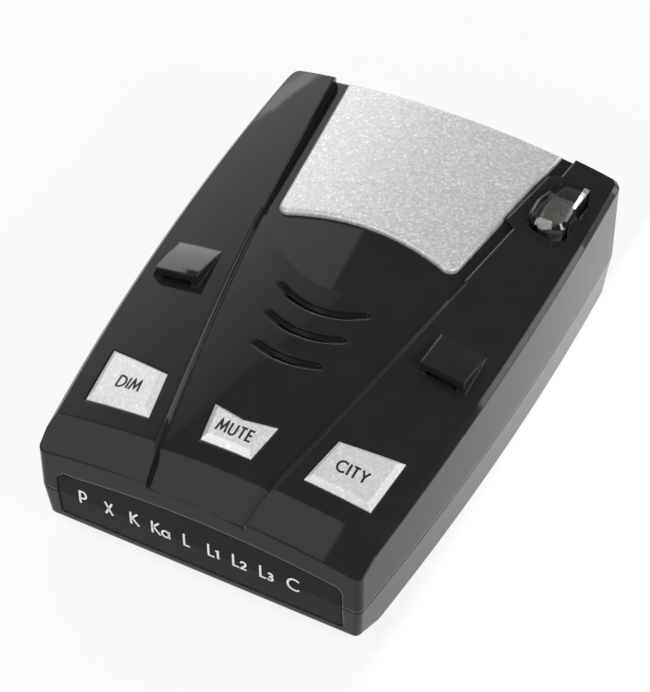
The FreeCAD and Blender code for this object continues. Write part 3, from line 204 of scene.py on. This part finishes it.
LOOKS = {
    "case": gloss_case("case", (0.016, 0.0163, 0.015), (0.019, 0.0193, 0.0178), 0.03, 0.05, 1.27),
    "window": gloss_case("window", (0.013, 0.013, 0.013), (0.015, 0.015, 0.015), 0.03, 0.05, 1.14),
    "silver": silver("silver", (0.42, 0.42, 0.44), (0.95, 0.95, 0.97), 0.3),
    "key_silver": silver("key_silver", (0.66, 0.66, 0.69), (1.0, 1.0, 1.0), 0.3),
    "label": plain("label", (0.32, 0.32, 0.33), (0.4, 0.4, 0.41), 0.3, 0.42, Metallic=0.6),
    "board": plain("board", (0.01, 0.07, 0.03), (0.02, 0.11, 0.05), 0.3, 0.45, 0.6),
    "black": plain("black", (0.014, 0.014, 0.015), (0.024, 0.024, 0.026), 0.4, 0.55, 0.4),
    "grey": plain("grey", (0.25, 0.25, 0.26), (0.33, 0.33, 0.34), 0.38, 0.5, 0.4),
    "resin": plain("resin", (0.66, 0.62, 0.55), (0.76, 0.72, 0.66), 0.15, 0.3, 0.8),
    "cast": plain("cast", (0.5, 0.5, 0.5), (0.62, 0.62, 0.63), 0.35, 0.5, 0.5, Metallic=1.0),
    "tinned": brushed("tinned", (0.5, 0.5, 0.5), (0.66, 0.66, 0.65), 0.22, 0.36),
    "sleeve": plain("sleeve", (0.015, 0.02, 0.09), (0.025, 0.035, 0.13), 0.2, 0.3, 1.0),
    "basket": plain("basket", (0.02, 0.02, 0.02), (0.035, 0.035, 0.035), 0.35, 0.5, 0.5),
    "paper": plain("paper", (0.03, 0.03, 0.03), (0.06, 0.06, 0.058), 0.7, 0.9, 0.3, 0.02),
    "ferrite": plain("ferrite", (0.05, 0.05, 0.052), (0.08, 0.08, 0.084), 0.4, 0.6, 0.3),
    "felt": plain("felt", (0.008, 0.008, 0.008), (0.02, 0.02, 0.02), 0.85, 1.0, 0.15, 0.04),
    "clear": clear("clear"),
    "diode": plain("diode", (0.012, 0.01, 0.012), (0.02, 0.016, 0.02), 0.08, 0.14, 0.8, 0.001),
    "screw": brushed("screw", (0.3, 0.3, 0.3), (0.42, 0.42, 0.41), 0.25, 0.4),
}

SLOT_LOOKS = {
    "case_plastic": "case",
    "smoked_window": "window",
    "silver_paint": "silver",
    "label_film": "label",
    "board_laminate": "board",
    "black_plastic": "black",
    "grey_plastic": "grey",
    "lamp_resin": "resin",
    "cast_metal": "cast",
    "tinned_steel": "tinned",
    "capacitor_sleeve": "sleeve",
    "speaker_steel": "basket",
    "speaker_paper": "paper",
    "magnet_ferrite": "ferrite",
    "felt": "felt",
    "clear_lens": "clear",
    "diode_resin": "diode",
    "screw_steel": "screw",
}

for part in frame["record"]["subparts"]:
    node = frame["nodes"][part["node"]]
    is_key = part["node"].endswith("_button")
    for place in node.material_slots:
        place.material = LOOKS["key_silver" if is_key else SLOT_LOOKS[part["material_slot"]]]


def add_mesh(name, verts, faces, look):
    """A new mesh object in the scene, with one material."""
    mesh = bpy.data.meshes.new(name)
    mesh.from_pydata(verts, [], faces)
    mesh.materials.append(look)
    made = bpy.data.objects.new(name, mesh)
    bpy.context.scene.collection.objects.link(made)
    return made


# ---------------------------------------------------------------- legends


def arc(centre, radius, first, last, steps=14):
    """Points on a circle from the first to the last angle, in degrees."""
    turns = [math.radians(first + (last - first) * i / steps) for i in range(steps + 1)]
    return [(centre[0] + radius * math.cos(t), centre[1] + radius * math.sin(t)) for t in turns]


# Each letter is a list of strokes in units of the cap height, from its bottom left corner.
GLYPHS = {
    "P": [[(0, 0), (0, 1), *arc((0.3, 0.73), 0.27, 90, -90), (0, 0.46)]],
    "X": [[(0, 0), (0.56, 1)], [(0, 1), (0.56, 0)]],
    "K": [[(0, 0), (0, 1)], [(0.5, 1), (0.04, 0.5)], [(0.1, 0.58), (0.56, 0)]],
    "a": [arc((0.3, 0.31), 0.27, 0, 360, 22), [(0.58, 0), (0.58, 0.62)]],
    "L": [[(0, 1), (0, 0.05), (0.4, 0.05)]],
    "1": [[(0, 0.62), (0.16, 0.68), (0.16, 0)]],
    "2": [[*arc((0.19, 0.48), 0.17, 170, -30, 12), (0.03, 0.04), (0.4, 0.04)]],
    "3": [[*arc((0.18, 0.5), 0.14, 150, -90, 12), *arc((0.17, 0.2), 0.17, 85, -160, 14)]],
    "C": [arc((0.46, 0.5), 0.46, 48, 312, 26)],
    "D": [[(0, 0), (0, 1), *arc((0.18, 0.5), 0.5, 90, -90, 20), (0, 0)]],
    "I": [[(0, 0), (0, 1)]],
    "M": [[(0, 0), (0.14, 1), (0.43, 0.2), (0.72, 1), (0.86, 0)]],
    "U": [[(0, 1), *arc((0.28, 0.3), 0.28, 180, 360), (0.56, 1)]],
    "T": [[(0, 0.96), (0.54, 0.96)], [(0.27, 1), (0.27, 0)]],
    "E": [[(0.42, 0.96), (0, 0.96), (0, 0.04), (0.42, 0.04)], [(0, 0.52), (0.38, 0.52)]],
    "Y": [[(0, 1), (0.3, 0.46), (0.6, 1)], [(0.3, 0.48), (0.3, 0)]],
}
# Widths scale the strokes across; gaps are in units of the cap height.
NARROW = {"P": 0.68, "X": 0.78, "K": 0.86, "L": 0.84, "a": 0.8}
USUAL_WIDTH = 0.88
LETTER_GAP = 0.24
SMALL_GAP = 0.1
LONGEST_STEP = 0.12
MITRE_LIMIT = 0.45


def glyph(letter):
    scale = NARROW.get(letter, USUAL_WIDTH)
    return [[(x * scale, y) for x, y in stroke] for stroke in GLYPHS[letter]]


def glyph_width(letter):
    return max(x for stroke in glyph(letter) for x, _ in stroke)


def gap_before(letter):
    return SMALL_GAP if letter in "a123" else LETTER_GAP


def word_strokes(word):
    """The strokes of a word, centred on zero, and in units of the cap height."""
    total = sum(map(glyph_width, word)) + sum(map(gap_before, word[1:]))
    start = -total / 2 - gap_before(word[0])
    strokes = []
    for letter in word:
        start += gap_before(letter)
        for stroke in glyph(letter):
            strokes.append([(start + x, y - 0.5) for x, y in stroke])
        start += glyph_width(letter)
    return strokes


def ribbon(points, width):
    """A flat strip along a line of points, mitred at its corners and cut into short pieces."""
    line = [np.array(points[0], float)]
    for spot in points[1:]:
        spot = np.array(spot, float)
        gap = spot - line[-1]
        steps = max(1, math.ceil(np.linalg.norm(gap) / LONGEST_STEP))
        start = line[-1]
        line += [start + gap * (i + 1) / steps for i in range(steps)]
    line = np.array(line)
    way = np.diff(line, axis=0)
    way /= np.linalg.norm(way, axis=1)[:, None]
    side = np.stack([-way[:, 1], way[:, 0]], 1)
    joint = np.vstack([side[:1], side[:-1] + side[1:], side[-1:]])
    joint /= np.linalg.norm(joint, axis=1)[:, None]
    reach = np.ones(len(line))
    reach[1:-1] = 1 / np.maximum((joint[1:-1] * side[1:]).sum(1), MITRE_LIMIT)
    offset = joint * (reach * width / 2)[:, None]
    verts = np.vstack([line + offset, line - offset])
    count = len(line)
    faces = [(i, count + i, count + i + 1, i + 1) for i in range(count - 1)]
    return verts, faces


def surface_of(node):
    """A tree of the node's faces, for dropping points onto them."""
    mesh = frame["nodes"][node].data
    corners = [v.co.copy() for v in mesh.vertices]
    return BVHTree.FromPolygons(corners, [tuple(p.vertices) for p in mesh.polygons])


INK_LIFT = 0.03 * MM
INK_DEPTH = 0.12 * MM
START_ABOVE = 20 * MM


def print_word(name, word, node, centre, across, up, outward, height, weight, ink, body):
    """Lays a word on a node's surface: each corner is dropped onto it against outward."""
    tree = surface_of(node)
    across, up, outward = Vector(across), Vector(up), Vector(outward)
    verts, faces = [], []
    for stroke in word_strokes(word):
        points, quads = ribbon(stroke, weight)
        base = len(verts)
        tops = []
        for x, y in points:
            spot = Vector(centre) + across * (x * height) + up * (y * height)
            spot = tree.ray_cast(spot + outward * START_ABOVE, -outward)[0]
            tops.append(spot + outward * INK_LIFT)
        verts += tops + [spot - outward * INK_DEPTH for spot in tops]
        count = len(tops)
        half = count // 2
        for quad in quads:
            faces.append(tuple(base + i for i in quad))
            faces.append(tuple(base + count + i for i in reversed(quad)))
        ring = list(range(half)) + list(range(count - 1, half - 1, -1))
        for i, j in zip(ring, ring[1:] + ring[:1]):
            faces.append((base + j, base + i, base + count + i, base + count + j))
    piece = add_mesh(name, verts, faces, ink)
    piece.data.validate()
    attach(piece, body)


white_ink = plain("white_ink", (0.78, 0.78, 0.76), (0.86, 0.86, 0.84), 0.3, 0.45, 0.3, 0.002)
black_ink = plain("black_ink", (0.012, 0.012, 0.012), (0.02, 0.02, 0.02), 0.35, 0.5, 0.3, 0.002)

window_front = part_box("display_window")[0].y
BANDS = ("P", "X", "K", "Ka", "L", "L1", "L2", "L3", "C")
BAND_PITCH = 5.4 * MM
BAND_CENTRE = -2.2 * MM
BAND_ROW = 12.2 * MM
for number, band in enumerate(BANDS):
    x = BAND_CENTRE + BAND_PITCH * (number - len(BANDS) // 2)
    print_word(
        f"band_{band}",
        band,
        "display_window",
        centre=(x, window_front, BAND_ROW),
        across=(1, 0, 0),
        up=(0, 0, 1),
        outward=(0, -1, 0),
        height=3.35 * MM,
        weight=0.13,
        ink=white_ink,
        body="housing",
    )

# Each key's word and the place of its middle, in millimetres.
LEGENDS = {"dim": ("DIM", -22.6, -36.2), "mute": ("MUTE", 0.1, -37.7), "city": ("CITY", 22.8, -36.2)}
ABOVE_KEYS = 40 * MM
for key, (word, x, y) in LEGENDS.items():
    print_word(
        f"legend_{key}",
        word,
        f"{key}_button",
        centre=(x * MM, y * MM, ABOVE_KEYS),
        across=(1, 0, 0),
        up=(0, 1, 0),
        outward=(0, 0, 1),
        height=2.45 * MM,
        weight=0.17,
        ink=black_ink,
        body=f"{key}_key",
    )


# ---------------------------------------------------------------- laser receiver


NOSE_STEPS = 24


def solid_from_rings(rings):
    """A closed skin through rings of points that run from the bottom to the top."""
    count = len(rings[0])
    verts = [spot for ring in rings for spot in ring]
    faces = [tuple(reversed(range(count)))]
    for level in range(len(rings) - 1):
        low, high = level * count, level * count + count
        for i in range(count):
            j = (i + 1) % count
            faces.append((low + i, low + j, high + j, high + i))
    faces.append(tuple(range(len(verts) - count, len(verts))))
    return verts, faces


def nose_ring(half, front, back, bend, inset):
    """A plan with a straight back and a front rounded by an ellipse, drawn in by inset."""
    half, front, back = half - inset, front + inset, back - inset
    spots = [(half, back), (-half, back)]
    for step in range(NOSE_STEPS + 1):
        turn = math.pi + math.pi * step / NOSE_STEPS
        spots.append((half * math.cos(turn), front + bend + bend * math.sin(turn)))
    return spots


def stack(plan, levels):
    """Levels over one plan; each level gives its height in front and behind, and its inset."""
    return [(low, high, nose_ring(*plan, inset)) for low, high, inset in levels]


def shaped(name, levels, centre_x, look):
    """A piece through levels of (height in front, height behind, ring), in millimetres."""
    rings = []
    for low, high, ring in levels:
        front = min(y for _, y in ring)
        rise = (high - low) / (max(y for _, y in ring) - front)
        spots = [(centre_x + x, y, low + rise * (y - front)) for x, y in ring]
        rings.append([Vector(spot) * MM for spot in spots])
    piece = add_mesh(name, *solid_from_rings(rings), look)
    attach(piece, "housing")
    return piece


# A plan is (half width, front, back, depth of the rounded front).
HEAD_PLAN = (2.5, 32.2, 40.0, 2.0)
HIGHLIGHT_PATCH_PLAN = (1.5, 32.35, 33.6, 1.0)
EYE_PLAN = (1.5, 31.7, 36.0, 1.5)
REFLECTION_FOOT_PLAN = (0.6, 32.4, 40.0, 0.6)
REFLECTION_TOP_PLAN = (1.0, 32.3, 40.0, 0.8)
SENSOR_X = 28.75
HIGHLIGHT_PATCH_X = SENSOR_X - 0.7
EYE_X = SENSOR_X - 1.1
REFLECTION_X = SENSOR_X + 1.8

satin = plain("satin", (0.1, 0.1, 0.093), (0.13, 0.13, 0.12), 0.22, 0.3, 1.2, 0.002)
# Painted reflection: a light grey copy of the sensor plastic, for the light seen on the sensor's right
# side through the hood.
painted_reflection_grey = plain("painted_reflection_grey", (0.28, 0.28, 0.26), (0.34, 0.34, 0.32), 0.35, 0.45, 1.2, 0.002)
# Painted highlight: a near-white patch on the sensor's front shoulder stands in for the gleam of the
# lights on its rounded front.
painted_highlight_white = plain("painted_highlight_white", (0.85, 0.85, 0.83), (0.92, 0.92, 0.9), 0.15, 0.25, 0.8, 0.001)

head_levels = stack(
    HEAD_PLAN,
    [(28.6, 28.6, 0.5), (29.0, 29.0, 0.1), (30.2, 31.4, 0.0), (30.9, 32.1, 0.3), (31.4, 32.6, 1.0)],
)
head = shaped("sensor_head", head_levels, SENSOR_X, satin)
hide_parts("laser_sensor")
# The white patch on the sensor's front is a painted highlight, not a real part of the sensor.
highlight_patch_levels = stack(HIGHLIGHT_PATCH_PLAN, [(30.2, 30.4, 0.1), (31.0, 31.3, 0.0), (31.55, 31.8, 0.3)])
shaped("sensor_painted_highlight", highlight_patch_levels, HIGHLIGHT_PATCH_X, painted_highlight_white)
eye_levels = stack(EYE_PLAN, [(25.2, 25.2, 0.1), (28.0, 28.0, 0.0), (28.5, 28.5, 0.4)])
shaped("sensor_eye", eye_levels, EYE_X, LOOKS["diode"])
# The light grey block on the sensor's right is a painted reflection, not a real part of the sensor.
reflection_levels = stack(REFLECTION_FOOT_PLAN, [(25.2, 25.2, 0.0)]) + stack(REFLECTION_TOP_PLAN, [(28.5, 28.5, 0.0)])
shaped("sensor_painted_reflection", reflection_levels, REFLECTION_X, painted_reflection_grey)


# ---------------------------------------------------------------- stage, lights and camera


WHITE = (1.0, 1.0, 1.0)
WARM = (1.0, 1.0, 0.94)
OVERHEAD = 0.9
FLOOR_HALF = 6.0
FLOOR_GLOW = 0.86
SOFTBOX_GLOW = 2.2
STUDIO_GLOW = 0.3
CAMERA_TURN = 27.528
CAMERA_RISE = 46.802
CAMERA_TARGET = (-6.779, 9.999, 2.051)
CAMERA_DISTANCE = 544.97
CAMERA_LENS = 144.64
CAMERA_SENSOR = 36.0


def panel(name, centre, aim, size, radiance, colour=WHITE):
    """A rectangular soft light; radiance is how bright its face looks."""
    data = bpy.data.lights.new(name, "AREA")
    data.shape = "RECTANGLE"
    data.size, data.size_y = size
    data.energy = radiance * math.pi * size[0] * size[1]
    data.color = colour
    light = bpy.data.objects.new(name, data)
    light.location = centre
    way = Vector(aim) - Vector(centre)
    light.rotation_euler = way.to_track_quat("-Z", "Y").to_euler()
    bpy.context.scene.collection.objects.link(light)


def make_floor():
    """A glowing white floor, brighter beside the case's right wall and towards the back."""
    look = Look("floor")
    look.tint(look.noise(400.0), (0.11, 0.11, 0.11), (0.13, 0.13, 0.13))
    apart = look.node("SeparateXYZ")
    look.link(look.place, apart.inputs["Vector"])
    beside = look.spread(apart.outputs["X"], 0.034, 0.039, 0.0, 1.0)
    behind = look.spread(apart.outputs["Y"], -0.06, 0.06, 0.1, 0.3)
    glow = look.node("Math", operation="MULTIPLY_ADD")
    look.link(beside, glow.inputs[0])
    look.link(behind, glow.inputs[1])
    glow.inputs[2].default_value = FLOOR_GLOW
    look.link(glow.outputs["Value"], look.shader.inputs["Emission Strength"])
    look.put(Roughness=0.9, Specular_IOR_Level=0.0, Emission_Color=(1, 1, 0.985, 1))
    far = FLOOR_HALF
    corners = [(-far, -far, 0), (far, -far, 0), (far, far, 0), (-far, far, 0)]
    add_mesh("floor", corners, [(0, 1, 2, 3)], look.material)


def make_softbox(corner, size, turn):
    """A glowing panel overhead that dims towards its front edge."""
    look = Look("softbox")
    apart = look.node("SeparateXYZ")
    look.link(look.place, apart.inputs["Vector"])
    ramp = look.node("ValToRGB")
    stops = ramp.color_ramp.elements
    stops[0].color = (0.3, 0.3, 0.285, 1)
    stops[1].color = (1.0, 1.0, 0.95, 1)
    middle = stops.new(0.5)
    middle.color = (0.8, 0.8, 0.76, 1)
    look.link(look.spread(apart.outputs["Y"], 0.0, 0.8, 0.0, 1.0), ramp.inputs["Fac"])
    look.link(ramp.outputs["Color"], look.shader.inputs["Emission Color"])
    look.put(Base_Color=(0, 0, 0, 1), Roughness=1.0, Specular_IOR_Level=0.0)
    look.put(Emission_Strength=SOFTBOX_GLOW)
    wide, deep = size
    corners = [(0, 0, 0), (wide, 0, 0), (wide, deep, 0), (0, deep, 0)]
    box = add_mesh("softbox", corners, [(0, 1, 2, 3)], look.material)
    box.location = corner
    box.rotation_euler = (math.pi, 0, math.pi + math.radians(turn))


def make_world():
    """An even glow from all round."""
    world = bpy.data.worlds.new("studio")
    world.use_nodes = True
    back = world.node_tree.nodes["Background"]
    back.inputs["Color"].default_value = (1.0, 1.0, 0.97, 1)
    back.inputs["Strength"].default_value = STUDIO_GLOW
    bpy.context.scene.world = world


def make_camera():
    """Looks down on the front right of the case; angles are in degrees and places in mm."""
    turn, rise = math.radians(CAMERA_TURN), math.radians(CAMERA_RISE)
    flat = math.cos(rise)
    back = Vector((math.sin(turn) * flat, -math.cos(turn) * flat, math.sin(rise)))
    data = bpy.data.cameras.new("camera")
    data.lens = CAMERA_LENS
    data.sensor_width = CAMERA_SENSOR
    camera = bpy.data.objects.new("camera", data)
    camera.location = (Vector(CAMERA_TARGET) + back * CAMERA_DISTANCE) * MM
    camera.rotation_mode = "QUATERNION"
    camera.rotation_quaternion = (-back).to_track_quat("-Z", "Y")
    bpy.context.scene.collection.objects.link(camera)
    bpy.context.scene.camera = camera


make_floor()
make_world()
make_camera()
make_softbox((-0.27, 0.495, OVERHEAD), (1.0, 1.0), 24.0)
panel("front_box", (-0.485, -0.27, OVERHEAD), (-0.485, -0.27, 0), (0.996, 0.3), 2.0, WARM)
panel("rear_left", (-0.78, 1.22, 0.5), (0, 0, 0.03), (0.75, 0.62), 3.4)
panel("right_strip", (0.98, 0.86, 0.22), (0, 0, 0.03), (0.55, 0.4), 5.0)
panel("front_left", (-0.38, -0.83, 0.68), (0, 0, 0.02), (0.35, 0.3), 7.0)
panel("key", (1.0, -0.35, 0.75), (0, 0, 0.02), (0.4, 0.4), 12.0)
bpy.context.scene.view_settings.view_transform = "Standard"
